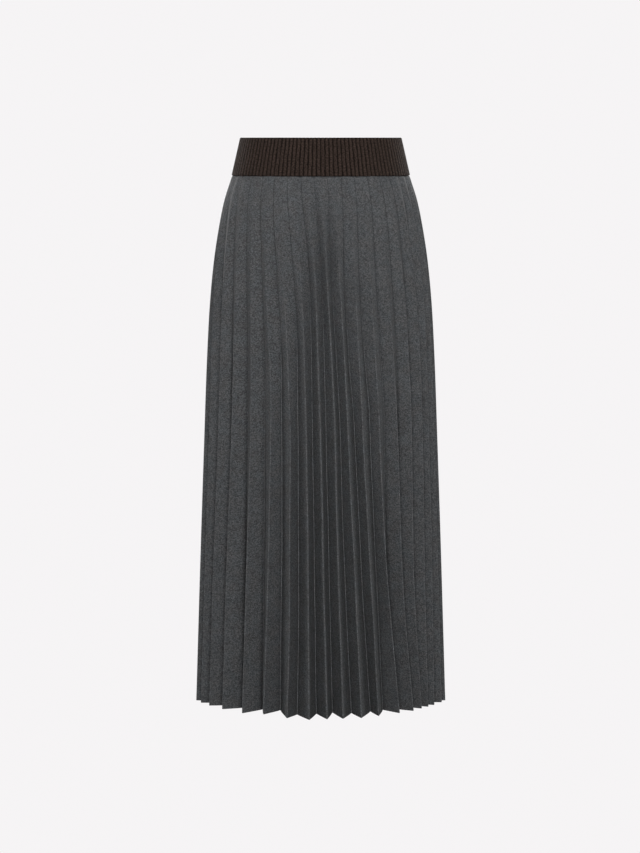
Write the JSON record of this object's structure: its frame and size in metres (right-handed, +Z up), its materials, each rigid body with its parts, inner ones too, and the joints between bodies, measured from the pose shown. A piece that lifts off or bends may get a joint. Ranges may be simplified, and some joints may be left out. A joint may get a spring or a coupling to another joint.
{
  "type": "pleated midi skirt",
  "caption": "Midi skirt of dark grey melange cloth in sunray pleats that open towards the hem, on a dark brown rib-knit pull-on waistband.",
  "frame": {"origin": "the middle of the waistband's height, on the axis of the waist that holds the skirt", "axes": "+Z up along the body, -Y to the front, +X to the right as seen from the front"},
  "size_m": [0.3742, 0.242, 0.842],
  "materials": {
    "melange_cloth": "matt twill with a heathered grain and pressed folds",
    "rib_knit": "matt vertical rib knit"
  },
  "bodies": {
    "root": {"rib_knit_waistband": "rib_knit", "front_skirt_panel": "melange_cloth", "back_skirt_panel": "melange_cloth"}
  },
  "joints": []
}
